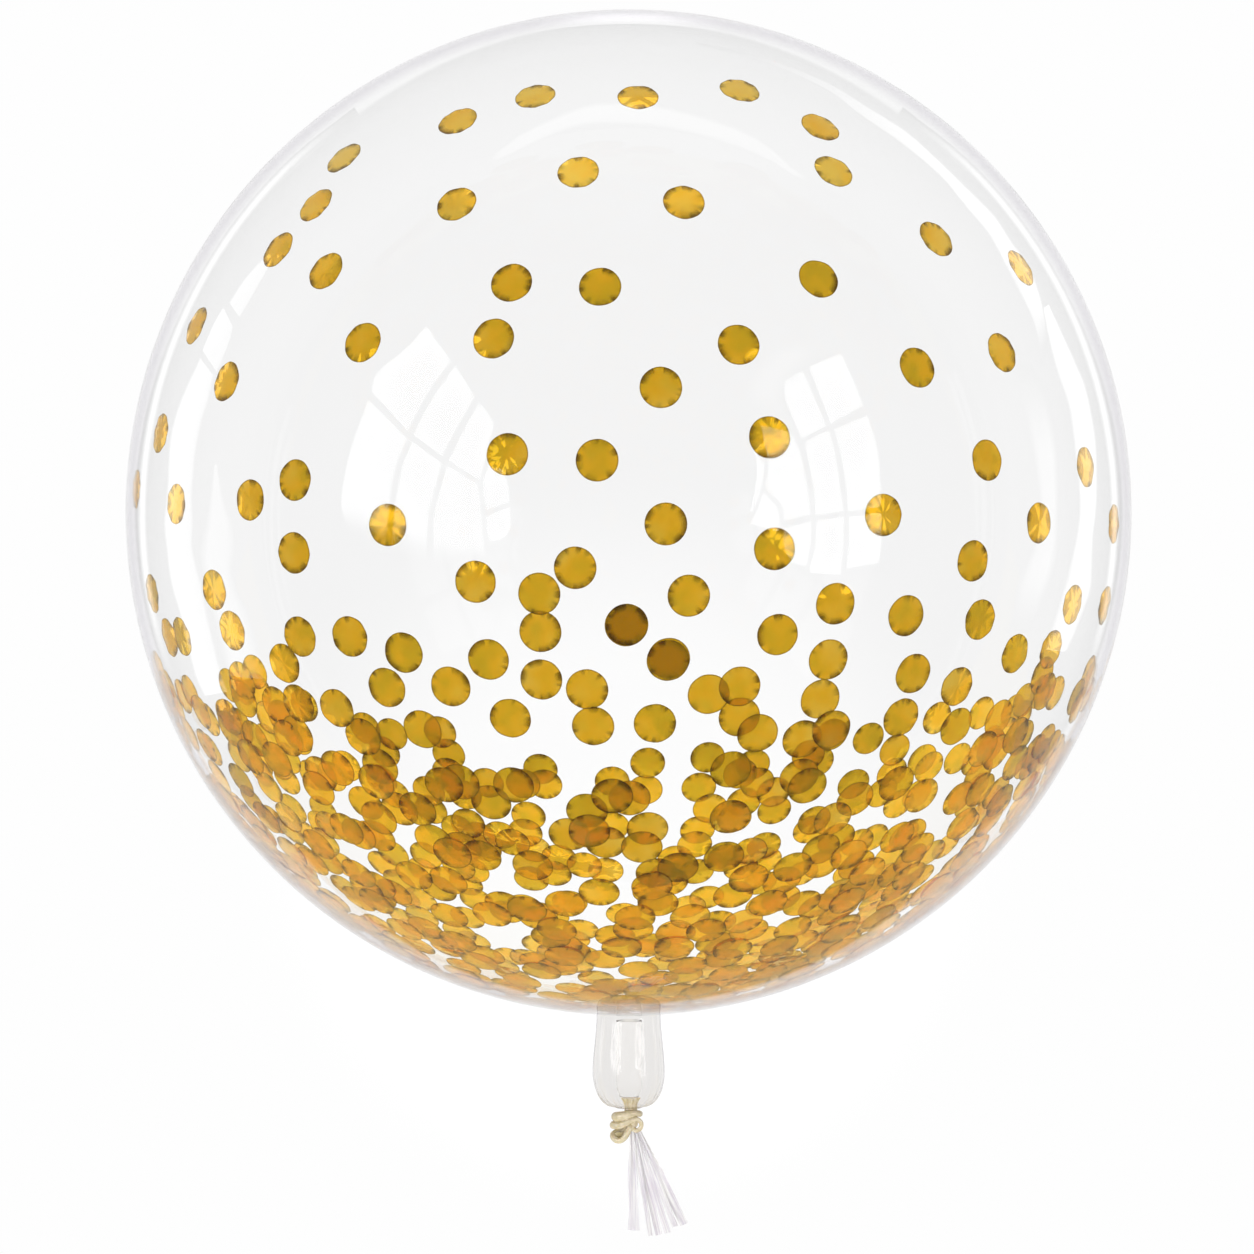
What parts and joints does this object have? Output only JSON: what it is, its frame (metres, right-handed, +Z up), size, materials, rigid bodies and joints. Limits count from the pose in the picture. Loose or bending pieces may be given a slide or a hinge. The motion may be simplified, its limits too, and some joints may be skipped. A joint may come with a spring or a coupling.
{
  "type": "clear bubble balloon",
  "caption": "Round clear film balloon, air-filled and sealed, with a short bulbous neck closed by a knotted latex tie and a tail of slit film, lying on a small flat spot.",
  "frame": {"origin": "centre of the small flat spot that the balloon lies on, straight below the globe's centre", "axes": "+Z up, -Y along the balloon's axis from the globe towards the neck and tail, +X to the right seen from above with the neck towards the viewer"},
  "size_m": [0.5078, 0.6182, 0.5062],
  "materials": {
    "clear_film": "gloss",
    "cream_latex": "satin",
    "milky_film": "gloss",
    "gold_foil": "gloss"
  },
  "bodies": {
    "root": {"bubble": "clear_film", "latex_tie": "cream_latex", "film_tail": "milky_film"}
  },
  "joints": []
}
